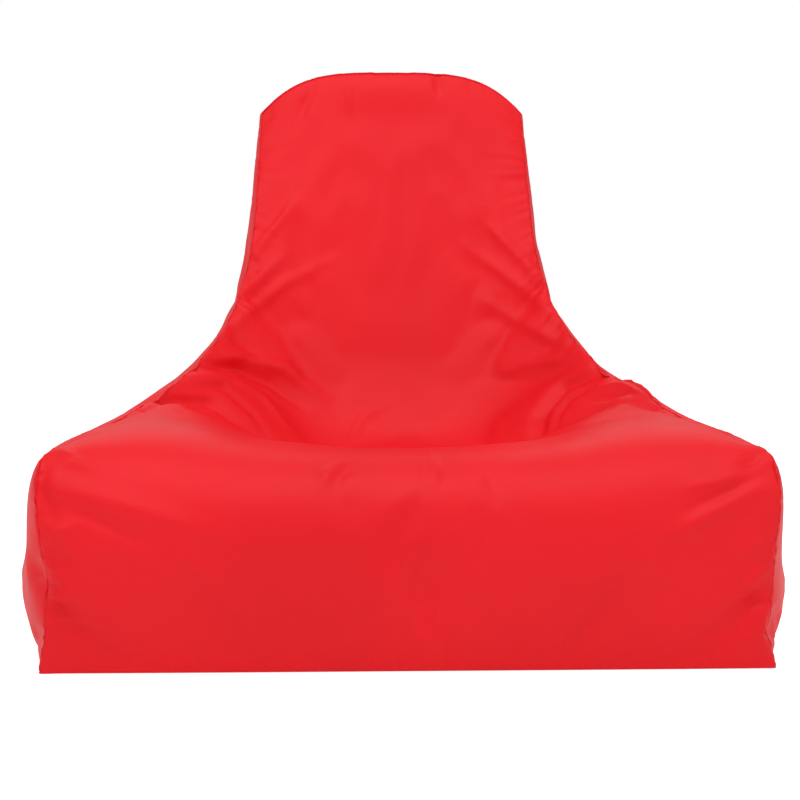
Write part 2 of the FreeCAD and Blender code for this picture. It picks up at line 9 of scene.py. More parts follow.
import bmesh
import bpy
import numpy as np
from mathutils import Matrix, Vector


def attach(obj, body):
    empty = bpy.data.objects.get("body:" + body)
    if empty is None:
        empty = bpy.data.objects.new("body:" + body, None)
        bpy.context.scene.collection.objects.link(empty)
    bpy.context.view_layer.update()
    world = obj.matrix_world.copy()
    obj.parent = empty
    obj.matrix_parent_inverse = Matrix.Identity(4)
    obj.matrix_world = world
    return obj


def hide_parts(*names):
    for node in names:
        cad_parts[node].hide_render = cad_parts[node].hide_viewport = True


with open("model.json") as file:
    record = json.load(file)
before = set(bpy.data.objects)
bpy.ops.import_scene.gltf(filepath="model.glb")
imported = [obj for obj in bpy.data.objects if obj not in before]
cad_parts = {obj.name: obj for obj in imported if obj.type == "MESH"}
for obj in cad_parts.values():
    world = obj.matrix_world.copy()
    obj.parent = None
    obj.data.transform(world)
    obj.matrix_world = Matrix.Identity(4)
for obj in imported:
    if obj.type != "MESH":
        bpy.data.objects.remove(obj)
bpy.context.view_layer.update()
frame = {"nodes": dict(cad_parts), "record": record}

MM = 0.001
BAG, LOOP, LABEL = "bag", "loop", "label"

# ------------------------------------------------------------------ control rows, in millimetres
FRAME_SHIFT = 5.8
SEAT_LINE = [
    (-400, 0), (-420, 60), (-432, 130), (-428, 195), (-404, 242), (-354, 264), (-290, 266), (-215, 250),
    (-120, 222), (-30, 206), (45, 220), (102, 272), (138, 350), (166, 440), (194, 545), (226, 655),
    (262, 781),
]
ARM_SEAM = [
    (450, -398, 0), (440, -404, 60), (443, -410, 125), (450, -412, 190), (454, -406, 240), (446, -386, 268),
    (424, -328, 280), (390, -240, 288), (350, -128, 306), (302, -36, 334), (265, 44, 368),
    (240, 100, 406), (222, 136, 450), (209, 164, 505), (203, 195, 575), (200, 230, 650), (195, 260, 720),
]
ARM_SWELL = [0, 0, 0, 2, 6, 14, 26, 36, 38, 34, 24, 14, 6, 2, 0, 0, 0]
SPINE_LINE = [
    (400, 0), (400, 35), (400, 70), (400, 105), (400, 140), (400, 175), (400, 215), (407, 260), (414, 305),
    (418, 355), (418, 405), (414, 460), (406, 515), (393, 575), (374, 637), (347, 705), (318, 772),
]
REAR_SEAM = [
    (440, 400, 0), (441, 400, 35), (440, 400, 70), (437, 400, 105), (431, 400, 140), (418, 400, 175),
    (396, 400, 212), (358, 402, 252), (314, 404, 295), (278, 405, 340), (248, 404, 388), (227, 400, 440),
    (214, 394, 492),
    (206, 384, 546), (201, 368, 600), (198, 344, 657), (195, 314, 714),
]
SIDE_BULGE = [10, 78, 49, 46, 36, 22, 16, 13, 11, 10, 9, 9, 10, 10, 9, 7, 4]
TOP_BULGE = 2.0
ACROSS = [-1.0, -0.93, -0.8, -0.62, -0.42, -0.2, 0.0, 0.2, 0.42, 0.62, 0.8, 0.93, 1.0]
ALONG = [0.0, 0.12, 0.32, 0.5, 0.68, 0.88, 1.0]
OUTWARD = {"front": 1.0, "rear": -1.0, "left": -1.0, "right": 1.0, "base": 1.0, "top": -1.0}

# Folds and dents of the front panel: name, height (negative for a valley), half width and line, all in mm
FOLDS = [
    ("left arm valley", -13, 13,
        [(-364, -106, 299), (-306, -66, 314), (-258, -23, 304), (-215, -24, 276), (-174, -20, 248)]),
    ("left arm crease", -6, 6, [(-300, -39, 327), (-246, 18, 317), (-207, 15, 284), (-181, -10, 258)]),
    ("left arm ridge", 6, 8, [(-289, -13, 336), (-236, 47, 330), (-192, 65, 303), (-157, 39, 259)]),
    ("left arm crease", -7, 7, [(-283, 14, 352), (-226, 75, 347), (-181, 95, 324), (-135, 95, 289)]),
    ("left seat swell", 9, 12, [(-270, 40, 365), (-221, 91, 360), (-161, 118, 340), (-106, 112, 299)]),
    ("left arm nip", -4, 6, [(-377, -209, 293), (-337, -130, 302), (-298, -51, 317)]),
    ("right arm valley", -15, 13, [(185, -42, 254), (203, 16, 281), (236, 32, 318), (294, -1, 343)]),
    ("right arm crease", -6, 6, [(194, -57, 258), (238, 1, 301), (287, -12, 335)]),
    ("right arm crease", -6, 8, [(301, -93, 300), (333, -125, 303), (375, -198, 294)]),
    ("right arm ridge", 5, 7, [(267, -13, 316), (316, -46, 327), (335, -95, 315)]),
    ("right arm ridge", 4, 7, [(254, -97, 283), (288, -83, 298), (316, -82, 311)]),
    ("right seat crease", -4, 7, [(138, 120, 327), (193, 86, 324), (246, 43, 338)]),
    ("right seat swell", 7, 11, [(164, 118, 342), (215, 92, 355), (267, 40, 362)]),
    ("back left fold", 4.5, 8, [(-144, 210, 583), (-180, 192, 540), (-215, 175, 496)]),
    ("back left fold", 5, 9, [(-162, 182, 503), (-194, 164, 474), (-226, 134, 441)]),
    ("back left fold", 5, 9, [(-97, 186, 496), (-162, 169, 463), (-210, 136, 425), (-249, 82, 388)]),
    ("back right fold", 4.5, 8, [(132, 203, 558), (170, 186, 518), (214, 153, 470)]),
    ("back right fold", 5, 9, [(107, 192, 519), (163, 173, 477), (226, 126, 425), (244, 99, 402)]),
    ("back right fold", 5, 10, [(124, 168, 443), (181, 144, 410), (224, 106, 386), (261, 54, 370)]),
    ("head left dent", -3.5, 9, [(-118, 263, 752), (-133, 257, 729), (-141, 248, 702)]),
    ("head left ridge", 3, 6, [(-67, 262, 765), (-63, 251, 719)]),
    ("head right dent", -5, 8, [(67, 268, 775), (73, 260, 748)]),
    ("seat middle ridge", 3, 8, [(-72, 57, 235), (-49, 100, 271), (-16, 113, 290)]),
    ("roll left nip", 5, 6, [(-106, -400, 231), (-99, -387, 244), (-78, -365, 255)]),
    ("roll left crease", -4, 6, [(-92, -402, 229), (-84, -389, 242), (-65, -376, 250)]),
    ("roll right nip", 5, 6, [(28, -347, 261), (29, -399, 233)]),
    ("roll right crease", -3, 6, [(41, -351, 260), (42, -397, 235)]),
    ("roll dimple", -3, 7, [(93, -384, 246), (101, -406, 224)]),
    ("left corner ridge", 6, 8, [(-427, -362, 271), (-407, -382, 259), (-380, -390, 250)]),
    ("left corner pocket", -8, 9, [(-440, -380, 262), (-444, -400, 229), (-429, -407, 190)]),
    ("left front swell", 5, 14, [(-418, -401, 230), (-347, -410, 208), (-252, -420, 178)]),
    ("left front crease", -5, 9, [(-419, -405, 211), (-371, -412, 188), (-311, -418, 161)]),
    ("right corner dent", -7, 8, [(432, -374, 265), (404, -392, 248)]),
    ("right corner ridge", 5, 9, [(424, -394, 245), (378, -401, 232), (338, -404, 227)]),
    ("right front fold", 6, 11, [(431, -401, 229), (374, -410, 201), (313, -418, 169)]),
    ("right front fold", -6, 9, [(436, -393, 247), (381, -405, 220), (337, -413, 199)]),
    ("right shoulder swell", 8, 20, [(340, -105, 312), (318, -66, 324), (300, -36, 335)]),
    ("left corner dent", -5, 22, [(-436, -350, 276), (-410, -290, 285)]),
    ("right corner dent", -5, 22, [(436, -350, 276), (410, -290, 285)]),
    ("right corner dent", -5, 20, [(447, -380, 262), (450, -398, 225)]),
    ("left hem nip", 5, 5, [(-439, -399, 70), (-388, -404, 63)]),
    ("left seam nip", 5, 6, [(-440, -403, 107), (-414, -404, 90)]),
    ("left seam nip", -5, 7, [(-439, -406, 146), (-408, -410, 142)]),
    ("left seam nip", 5, 7, [(-439, -406, 173), (-402, -410, 181)]),
    ("right seam nip", 5, 7, [(430, -406, 130), (405, -407, 101)]),
    ("right seam nip", -5, 7, [(433, -402, 92), (404, -404, 73)]),
    ("right seam nip", 4, 7, [(434, -407, 161), (401, -411, 152)]),
]

# The cover's zip: its height, its slot's half height and half length, how far the slot's edges tuck in, and
# the y of the tapes' outer face and of the rear plane
ZIP_HEIGHT, SLOT, SLOT_END = 100 * MM, 7 * MM, 312 * MM
EDGE_TUCK = 1.2 * MM
ZIP_FACE = (400 - 1.3 + FRAME_SHIFT) * MM
REAR_FACE = (400 + FRAME_SHIFT) * MM
LINER_ZIP_HEIGHT = 150 * MM


# ------------------------------------------------------------------ the bag's surface
def crossing(middle, seam, share, swell):
    blend = abs(share) ** 4
    hump = math.sin(math.pi * min(1.0, max(0.0, (abs(share) - 0.4) / 0.6)))
    y = middle[0] + (seam[1] - middle[0]) * blend
    z = middle[1] + (seam[2] - middle[1]) * blend + swell * hump
    return seam[0] * share, y, z


def boxing(front, rear, bulge, share):
    point = np.array(front, float) + (np.array(rear, float) - np.array(front, float)) * share
    point[0] += bulge * (1.0 - (2.0 * share - 1.0) ** 4)
    return point


def ruled(front_row, rear_row, left, right, rise):
    rows = [left]
    for k, u in list(enumerate(ACROSS))[1:-1]:
        edge = abs(u) ** 4
        side = 1.0 if u > 0 else -1.0
        row = []
        for n, s in enumerate(ALONG):
            border = right[n] - (right[0] + (right[-1] - right[0]) * s)
            point = front_row[k] + (rear_row[k] - front_row[k]) * s + border * [side * edge, edge, edge]
            row.append(point + [0, 0, rise * 4.0 * s * (1.0 - s) * (1.0 - edge)])
        rows.append(np.array(row))
    return np.array(rows + [right])


def control_grids():
    rows = range(len(SEAT_LINE))
    front = np.array([[crossing(SEAT_LINE[i], ARM_SEAM[i], u, ARM_SWELL[i]) for u in ACROSS] for i in rows])
    rear = np.array([[crossing(SPINE_LINE[i], REAR_SEAM[i], u, 0.0) for u in ACROSS] for i in rows])
    right = np.array([[boxing(ARM_SEAM[i], REAR_SEAM[i], SIDE_BULGE[i], s) for s in ALONG] for i in rows])
    left = right * [-1, 1, 1]
    grids = {"front": front, "rear": rear, "left": left, "right": right}
    grids["base"] = ruled(front[0], rear[0], left[0], right[0], 0.0)
    grids["top"] = ruled(front[-1], rear[-1], left[-1], right[-1], TOP_BULGE)
    return {name: (grid + [0, FRAME_SHIFT, 0]) * MM for name, grid in grids.items()}


def weights(count, t):
    """The clamped uniform cubic B-spline's weights, one row for each parameter in t."""
    spans = count - 3
    knots = np.concatenate([[0.0] * 3, np.arange(spans + 1), [spans] * 3])
    t = np.clip(t, 0.0, spans - 1e-9)[:, None]
    table = ((t >= knots[:-1]) & (t < knots[1:])).astype(float)
    for degree in range(1, 4):
        low = knots[degree:-1] - knots[: -degree - 1]
        high = knots[degree + 1 :] - knots[1:-degree]
        rise = np.where(low > 0, (t - knots[: -degree - 1]) / np.where(low > 0, low, 1), 0)
        fall = np.where(high > 0, (knots[degree + 1 :] - t) / np.where(high > 0, high, 1), 0)
        table = rise * table[:, :-1] + fall * table[:, 1:]
    return table


GRIDS = control_grids()


def surface(name, rows, columns):
    grid = GRIDS[name]
    return np.einsum("ui,ijk,vj->uvk", weights(grid.shape[0], rows), grid, weights(grid.shape[1], columns))


def even_steps(curve, spans, count):
    """Parameters that divide a curve into equal lengths. curve gives points for parameters."""
    fine = np.linspace(0.0, spans, 2000)
    steps = np.linalg.norm(np.diff(curve(fine), axis=0), axis=1)
    length = np.concatenate([[0.0], np.cumsum(steps)])
    return np.interp(np.linspace(0.0, length[-1], count), length, fine), length[-1]


def with_ends(t, length, edges):
    """The same parameters, with extra ones at those distances from both ends."""
    share = np.array(edges) / length * t[-1]
    clear = share[-1] * 1.2
    inner = t[(t > clear) & (t < t[-1] - clear)]
    return np.unique(np.concatenate([inner, share, t[-1] - share, [0.0, t[-1]]]))


def samples(row_count, across_count, along_count, edges):
    """Shared parameters: rows from the hem to the top, columns across, and columns from front to rear."""
    middle = np.array([5.0])
    rows, row_length = even_steps(lambda t: surface("front", t, middle)[:, 0], 14, row_count)
    across, across_length = even_steps(lambda t: surface("front", np.array([2.0]), t)[0], 10, across_count)
    along, along_length = even_steps(lambda t: surface("right", np.array([2.0]), t)[0], 4, along_count)
    if not edges:
        return rows, across, along
    heights = surface("rear", rows, middle)[:, 0, 2]
    near_zip = ZIP_HEIGHT + np.array([-4, -2.5, -1.2, 0, 1.2, 2.5, 4]) * MM
    zip_rows = np.interp(near_zip, heights, rows)
    kept = rows[np.abs(heights - ZIP_HEIGHT) > 5 * MM]
    rows = np.unique(np.concatenate([with_ends(kept, row_length, edges), zip_rows]))
    return rows, with_ends(across, across_length, edges), with_ends(along, along_length, edges)


def patches(rows, across, along):
    return {
        "front": surface("front", rows, across),
        "rear": surface("rear", rows, across),
        "left": surface("left", rows, along),
        "right": surface("right", rows, along),
        "base": surface("base", across, along),
        "top": surface("top", across, along),
    }


def parameters(name, rows, across, along):
    if name in ("front", "rear"):
        return rows, across
    if name in ("left", "right"):
        return rows, along
    return across, along


def key_of(point):
    return tuple(np.round(point / (0.02 * MM)).astype(int))


def border_indices(shape):
    n, m = shape[:2]
    cells = [(0, k) for k in range(m)] + [(n - 1, k) for k in range(m)]
    return cells + [(i, 0) for i in range(1, n - 1)] + [(i, m - 1) for i in range(1, n - 1)]


def joined_at_borders(values, merge):
    """Give every sample where patches meet one value, merged from what each patch has there."""
    shared = {}
    for name, patch in BASE.items():
        for cell in border_indices(patch.shape):
            shared.setdefault(key_of(patch[cell]), []).append((name, cell))
    for users in shared.values():
        value = merge([values[name][cell] for name, cell in users])
        for name, cell in users:
            values[name][cell] = value
    return values


def mean_direction(normals):
    total = sum(normals)
    return total / np.linalg.norm(total)


def normals_of(points):
    """Outward unit normals of the patches. Where patches meet they share the mean of their normals."""
    normals = {}
    for name, patch in points.items():
        normal = np.cross(np.gradient(patch, axis=1), np.gradient(patch, axis=0)) * OUTWARD[name]
        size = np.linalg.norm(normal, axis=2, keepdims=True)
        normals[name] = normal / np.where(size > 1e-12, size, 1)
    return joined_at_borders(normals, mean_direction)


# ------------------------------------------------------------------ cloth simulation
WRINKLE_SHARE, BULGE_SHARE = 1.0, 0.10


def mesh_object(name, vertices, faces):
    mesh = bpy.data.meshes.new(name)
    mesh.from_pydata([tuple(v) for v in vertices], [], faces)
    mesh.update()
    obj = bpy.data.objects.new(name, mesh)
    bpy.context.scene.collection.objects.link(obj)
    return obj


def patch_faces(shape, outward, offset=0):
    n, m = shape[:2]
    index = np.arange(n * m).reshape(n, m) + offset
    quads = np.stack([index[:-1, :-1], index[:-1, 1:], index[1:, 1:], index[1:, :-1]], -1).reshape(-1, 4)
    if outward < 0:
        quads = quads[:, ::-1]
    return quads.tolist()


def averaged(values, faces, rounds):
    """Values on the points of a closed mesh, spread over their neighbours."""
    quads = np.array(faces)
    here = quads.T.reshape(-1)
    there = np.roll(quads, -1, axis=1).T.reshape(-1)
    count = np.bincount(here, minlength=len(values))
    for _ in range(rounds):
        around = [np.bincount(here, values[there, k], len(values)) / count for k in range(values.shape[1])]
        values = 0.5 * values + 0.5 * np.stack(around, -1)
    return values


def wrinkled(coarse):
    """How far each point of the coarse patches moves when the sewn bag is filled and its cloth wrinkles."""
    keys, vertices, faces, index = {}, [], [], {}
    for name, patch in coarse.items():
        flat = patch.reshape(-1, 3)
        ids = np.empty(len(flat), int)
        for n, point in enumerate(flat):
            key = key_of(point)
            if key not in keys:
                keys[key] = len(vertices)
                vertices.append(point)
            ids[n] = keys[key]
        index[name] = ids
        faces += [[int(ids[v]) for v in quad] for quad in patch_faces(patch.shape, OUTWARD[name])]
    rest = np.array(vertices)
    bag = mesh_object("bag_simulation", rest, faces)
    held = bag.vertex_groups.new(name="held")
    near_zip = (rest[:, 1] > REAR_FACE - MM) & (np.abs(rest[:, 2] - 0.125) < 0.06)
    near_loop = (rest[:, 2] > 0.75) & (rest[:, 1] > 0.30) & (np.abs(rest[:, 0]) < 0.04)
    near_label = (rest[:, 0] > 0.43) & (rest[:, 1] > 0.38) & (rest[:, 2] < 0.11)
    firm = (rest[:, 2] < 2 * MM) | near_zip | near_loop | near_label
    held.add([int(i) for i in np.flatnonzero(firm)], 1.0, "REPLACE")
    held.add([int(i) for i in np.flatnonzero(~firm)], 0.12, "REPLACE")
    cloth = bag.modifiers.new("Cloth", "CLOTH")
    settings = cloth.settings
    settings.quality = 6
    settings.mass = 0.3
    settings.tension_stiffness = 12
    settings.compression_stiffness = 12
    settings.shear_stiffness = 6
    settings.bending_stiffness = 1.5
    settings.use_pressure = True
    settings.uniform_pressure_force = 1.6
    settings.shrink_min = -0.012
    settings.vertex_group_mass = "held"
    settings.pin_stiffness = 0.6
    settings.effector_weights.gravity = 0
    cloth.collision_settings.use_collision = False
    cloth.point_cache.frame_start = 1
    cloth.point_cache.frame_end = 24
    for step in range(1, 23):
        bpy.context.scene.frame_set(step)
    result = bag.evaluated_get(bpy.context.evaluated_depsgraph_get()).data
    moved = np.array([v.co for v in result.vertices])
    bpy.data.objects.remove(bag)
    bpy.context.scene.frame_set(1)
    move = moved - rest
    bulge = averaged(move, faces, 40)
    loose = averaged((~firm).astype(float)[:, None], faces, 8) * ~firm[:, None]
    seat = np.exp(-((rest[:, 0] / 0.16) ** 2) - ((rest[:, 2] - 0.32) / 0.13) ** 2) * (rest[:, 1] < 0.3)
    loose = loose * (1.0 - 0.85 * seat[:, None])
    wrinkle = (WRINKLE_SHARE * (move - bulge) + BULGE_SHARE * bulge) * loose
    size = np.linalg.norm(wrinkle, axis=1, keepdims=True)
    wrinkle = wrinkle * np.minimum(1.0, 9 * MM / np.maximum(size, 1e-9))
    return {name: wrinkle[ids].reshape(coarse[name].shape) for name, ids in index.items()}


def resampled(field, old, new):
    """A grid of vectors carried from one pair of parameter lists to another, by Catmull-Rom curves."""
    for axis in (0, 1):
        place = np.interp(new[axis], old[axis], np.arange(len(old[axis])))
        start = np.minimum(place.astype(int), len(old[axis]) - 2)
        f = (place - start).reshape((-1, 1, 1))
        last = len(old[axis]) - 1
        p0, p1, p2, p3 = (np.take(field, np.clip(start + d, 0, last), axis=0) for d in (-1, 0, 1, 2))
        cubic = 3 * (p1 - p2) + p3 - p0
        square = 2 * p0 - 5 * p1 + 4 * p2 - p3
        field = p1 + 0.5 * f * (p2 - p0 + f * (square + f * cubic))
        field = field.transpose(1, 0, 2)
    return field


FINE = samples(250, 166, 92, [1.2 * MM, 2.6 * MM, 4.5 * MM])
BASE = patches(*FINE)
ORDER = list(BASE)
SMOOTH = {name: patch.copy() for name, patch in BASE.items()}
COARSE = samples(105, 68, 46, [])
start = patches(*COARSE)
moves = wrinkled(start)
for name in ORDER:
    SMOOTH[name] += resampled(moves[name], parameters(name, *COARSE), parameters(name, *FINE))


# ------------------------------------------------------------------ folds, seams and hem
def from_line(points, line):
    """Distance of each point to a broken line, and where along it the nearest point is, from 0 to 1."""
    line = np.array(line, float) * MM
    lengths = np.linalg.norm(np.diff(line, axis=0), axis=1)
    reached = np.concatenate([[0.0], np.cumsum(lengths)])
    best = np.full(points.shape[:-1], 1e9)
    along = np.zeros(points.shape[:-1])
    for n, (a, b) in enumerate(zip(line[:-1], line[1:])):
        t = np.clip(((points - a) @ (b - a)) / lengths[n] ** 2, 0, 1)
        distance = np.linalg.norm(points - a - t[..., None] * (b - a), axis=-1)
        nearer = distance < best
        best = np.where(nearer, distance, best)
        along = np.where(nearer, (reached[n] + t * lengths[n]) / reached[-1], along)
    return best, along


def fold_height(points):
    total = np.zeros(points.shape[:-1])
    for _, height, width, line in FOLDS:
        distance, along = from_line(points, line)
        taper = np.sin(np.pi * np.clip(0.06 + 0.88 * along, 0, 1)) ** 0.7
        total += height * MM * taper * np.exp(-((distance / (width * MM)) ** 2))
    return total


def wander(s, seed):
    """A smooth, repeatable irregular wave of about unit height along a seam."""
    rng = np.random.default_rng(seed)
    total = np.zeros_like(s)
    for wavelength in (0.013, 0.017, 0.024, 0.041, 0.075):
        total += rng.uniform(0.5, 1.0) * np.sin(2 * np.pi * s / wavelength + rng.uniform(0, 6.28))
    return total / 2.2


def lengths_along(patch, axis):
    steps = np.linalg.norm(np.diff(patch, axis=axis), axis=2)
    zero = np.zeros_like(np.take(steps, [0], axis=axis))
    return np.cumsum(np.concatenate([zero, steps], axis=axis), axis=axis)


# Each patch's seams by side, in mm: the seam's depth, its width, the puckers' height and their reach
HEM, TOP_SEAM, SIDE_SEAM = (1.6, 2.2), (1.4, 2.2), (3.0, 2.6)
FLAT = (*HEM, 0, 1)
SEAMS = {
    "front": {
        "low": (*HEM, 0.9, 7),
        "high": (*TOP_SEAM, 0.6, 14),
        "first": (*SIDE_SEAM, 3.4, 24),
        "last": (*SIDE_SEAM, 3.4, 24),
    },
    "rear": {
        "low": (*HEM, 0.6, 7),
        "high": (*TOP_SEAM, 0.8, 14),
        "first": (*SIDE_SEAM, 1.4, 16),
        "last": (*SIDE_SEAM, 1.4, 16),
    },
    "left": {
        "low": (*HEM, 0.9, 8),
        "high": (*TOP_SEAM, 0.4, 6),
        "first": (*SIDE_SEAM, 3.4, 20),
        "last": (*SIDE_SEAM, 1.6, 16),
    },
    "base": {"low": FLAT, "high": FLAT, "first": FLAT, "last": FLAT},
    "top": {
        "low": (*TOP_SEAM, 0.3, 6),
        "high": (*TOP_SEAM, 0.3, 6),
        "first": (*TOP_SEAM, 0.8, 12),
        "last": (*TOP_SEAM, 0.8, 12),
    },
}
SEAMS["right"] = SEAMS["left"]


def seam_height(name, patch, seed):
    """How far the seams pull a patch in, with the puckers beside them."""
    down, across = lengths_along(patch, 0), lengths_along(patch, 1)
    sides = {
        "low": (down, across[:1]),
        "high": (down[-1:] - down, across[-1:]),
        "first": (across, down[:, :1]),
        "last": (across[:, -1:] - across, down[:, -1:]),
    }
    total = np.zeros(patch.shape[:2])
    firmness = 1.0 - 0.6 * np.clip((patch[..., 2] - 0.32) / 0.12, 0.0, 1.0)
    for n, (side, (depth, width, pucker, reach)) in enumerate(SEAMS[name].items()):
        distance, s = sides[side]
        edge = np.exp(-distance / (width * MM))
        total = np.minimum(total, -depth * MM * edge * firmness)
        if pucker:
            ripple = wander(s, seed + n) * (0.65 + 0.35 * wander(s * 0.21, seed + n + 50))
            total = total + pucker * MM * ripple * (np.exp(-distance / (reach * MM)) - edge)
    return total


def scallops(name, patch, normal):
    """The hem: the cloth swells down and out between stitches 15 mm apart."""
    moved = patch.copy()
    if name in ("front", "left", "right", "rear"):
        s = lengths_along(patch, 1)[:1]
        height = lengths_along(patch, 0)
        stitches = round(float(s[0, -1]) / 0.015)
        between = np.abs(np.sin(np.pi * stitches * s / s[0, -1])) ** 0.7
        swell = between * np.exp(-height / (7 * MM)) * (1 - np.exp(-height / (1.5 * MM)))
        moved += normal * (1.6 * MM * swell)[..., None]
        moved[..., 2] -= 0.8 * MM * swell
    return moved


NORMALS = normals_of(SMOOTH)
for name in ("front", "left", "right", "top"):
    SMOOTH[name] = SMOOTH[name] + NORMALS[name] * fold_height(BASE[name])[..., None]
COVER = {}
for seed, name in enumerate(ORDER):
    height = seam_height(name, BASE[name], 100 * (seed + 1))
    COVER[name] = scallops(name, SMOOTH[name] + NORMALS[name] * height[..., None], NORMALS[name])
    COVER[name][..., 2] = np.maximum(COVER[name][..., 2], 0.0)


# ------------------------------------------------------------------ materials
def node_tree(name):
    material = bpy.data.materials.new(name)
    material.use_nodes = True
    tree = material.node_tree
    shader = tree.nodes["Principled BSDF"]
    return material, tree, shader


def add(tree, kind, **values):
    node = tree.nodes.new(kind)
    for key, value in values.items():
        if key in node.inputs:
            node.inputs[key].default_value = value
        else:
            setattr(node, key, value)
    return node


def object_space(tree):
    return add(tree, "ShaderNodeTexCoord").outputs["Object"]


def noise(tree, scale, detail=3.0, roughness=0.5):
    node = add(tree, "ShaderNodeTexNoise", Scale=scale, Detail=detail, Roughness=roughness)
    tree.links.new(object_space(tree), node.inputs["Vector"])
    return node.outputs["Fac"]


def ramp(tree, source, stops):
    node = add(tree, "ShaderNodeValToRGB")
    tree.links.new(source, node.inputs["Fac"])
    points = node.color_ramp.elements
    points[0].position, points[0].color = stops[0][0], (*stops[0][1], 1)
    points[1].position, points[1].color = stops[-1][0], (*stops[-1][1], 1)
    for place, colour in stops[1:-1]:
        points.new(place).color = (*colour, 1)
    return node.outputs["Color"]


def spread(tree, source, low, high):
    node = add(tree, "ShaderNodeMapRange")
    node.inputs["To Min"].default_value = low
    node.inputs["To Max"].default_value = high
    tree.links.new(source, node.inputs["Value"])
    return node.outputs["Result"]


def bump(tree, height, strength, distance, below=None):
    node = add(tree, "ShaderNodeBump", Strength=strength, Distance=distance)
    tree.links.new(height, node.inputs["Height"])
    if below:
        tree.links.new(below, node.inputs["Normal"])
    return node.outputs["Normal"]


def faux_leather(name, tint):
    """Satin faux leather: fine pebble grain, faint colour drift and softly varying gloss."""
    material, tree, shader = node_tree(name)
    stops = [(0.3, tuple(c * 0.95 for c in tint)), (0.7, tuple(min(1, c * 1.05) for c in tint))]
    tones = ramp(tree, noise(tree, 4.0, 4.0), stops)
    tree.links.new(tones, shader.inputs["Base Color"])
    tree.links.new(spread(tree, noise(tree, 22.0, 3.0), 0.42, 0.52), shader.inputs["Roughness"])
    cells = add(tree, "ShaderNodeTexVoronoi", Scale=900.0, Randomness=0.9)
    cells.feature = "SMOOTH_F1"
    tree.links.new(object_space(tree), cells.inputs["Vector"])
    soft = bump(tree, noise(tree, 34.0, 3.0, 0.45), 0.10, 0.0012)
    fine = bump(tree, noise(tree, 420.0, 4.0, 0.6), 0.16, 0.0003, soft)
    grain = bump(tree, cells.outputs["Distance"], 0.22, 0.00025, fine)
    tree.links.new(grain, shader.inputs["Normal"])
    shader.inputs["Specular IOR Level"].default_value = 0.17
    return material


def woven(name, tint, scale):
    """Woven or knitted cloth: two crossed rows of thread."""
    material, tree, shader = node_tree(name)
    heights = []
    for direction in ("X", "Z"):
        wave = add(tree, "ShaderNodeTexWave", Scale=scale, Distortion=1.2, Detail=2.0)
        wave.bands_direction = direction
        tree.links.new(object_space(tree), wave.inputs["Vector"])
        heights.append(wave.outputs["Fac"])
    mix = add(tree, "ShaderNodeMath", operation="MULTIPLY")
    tree.links.new(heights[0], mix.inputs[0])
    tree.links.new(heights[1], mix.inputs[1])
    # The colour is darker where the threads dip: painted shade in the weave's hollows, on top of the bump
    # below.
    tones = ramp(tree, mix.outputs[0], [(0.0, tuple(c * 0.7 for c in tint)), (0.6, tint)])
    tree.links.new(tones, shader.inputs["Base Color"])
    tree.links.new(spread(tree, noise(tree, 60.0), 0.78, 0.92), shader.inputs["Roughness"])
    tree.links.new(bump(tree, mix.outputs[0], 0.6, 0.0003), shader.inputs["Normal"])
    shader.inputs["Sheen Weight"].default_value = 0.15
    return material


def dotted(name, tint, scale, strength, distance, roughness):
    """A surface of small rounded cells: bonded nonwoven cloth, or packed beads."""
    material, tree, shader = node_tree(name)
    cells = add(tree, "ShaderNodeTexVoronoi", Scale=scale, Randomness=0.7)
    tree.links.new(object_space(tree), cells.inputs["Vector"])
    # The colour darkens towards each cell's edge: painted shade in the hollows between the rounded cells,
    # on top of the bump below.
    tones = ramp(tree, cells.outputs["Distance"], [(0.0, tint), (0.75, tuple(c * 0.78 for c in tint))])
    tree.links.new(tones, shader.inputs["Base Color"])
    gloss = spread(tree, noise(tree, 30.0), roughness - 0.08, roughness + 0.08)
    tree.links.new(gloss, shader.inputs["Roughness"])
    turned = add(tree, "ShaderNodeMath", operation="SUBTRACT")
    turned.inputs[0].default_value = 1.0
    tree.links.new(cells.outputs["Distance"], turned.inputs[1])
    tree.links.new(bump(tree, turned.outputs[0], strength, distance), shader.inputs["Normal"])
    return material


def nylon(name, tint):
    material, tree, shader = node_tree(name)
    tones = ramp(tree, noise(tree, 150.0), [(0.3, tuple(c * 0.85 for c in tint)), (0.7, tint)])
    tree.links.new(tones, shader.inputs["Base Color"])
    tree.links.new(spread(tree, noise(tree, 400.0), 0.28, 0.42), shader.inputs["Roughness"])
    tree.links.new(bump(tree, noise(tree, 900.0), 0.15, 0.0001), shader.inputs["Normal"])
    return material


def cast_metal(name):
    material, tree, shader = node_tree(name)
    tones = ramp(tree, noise(tree, 300.0, 5.0), [(0.3, (0.50, 0.50, 0.51)), (0.7, (0.68, 0.68, 0.69))])
    tree.links.new(tones, shader.inputs["Base Color"])
    tree.links.new(spread(tree, noise(tree, 700.0, 4.0), 0.24, 0.44), shader.inputs["Roughness"])
    tree.links.new(bump(tree, noise(tree, 1500.0), 0.12, 0.00008), shader.inputs["Normal"])
    shader.inputs["Metallic"].default_value = 1.0
    return material


RED = (0.80, 0.0100, 0.0165)
MATERIALS = {
    "cover_leather": faux_leather("red_faux_leather", RED),
    "liner_cloth": dotted("white_nonwoven", (0.80, 0.80, 0.78), 420.0, 0.5, 0.0003, 0.8),
    "beads": dotted("expanded_beads", (0.90, 0.90, 0.89), 240.0, 1.0, 0.002, 0.6),
    "cover_zip_tape": woven("red_zip_tape", (0.50, 0.012, 0.018), 520.0),
    "cover_zip_coil": nylon("red_nylon", (0.55, 0.015, 0.022)),
    "liner_zip_tape": woven("white_zip_tape", (0.75, 0.75, 0.73), 520.0),
    "liner_zip_coil": nylon("white_nylon", (0.80, 0.80, 0.78)),
    "zip_metal": cast_metal("zinc_alloy"),
    "label_cloth": woven("white_label", (0.85, 0.85, 0.83), 900.0),
    "thread": woven("red_thread", (0.66, 0.012, 0.018), 1400.0),
}


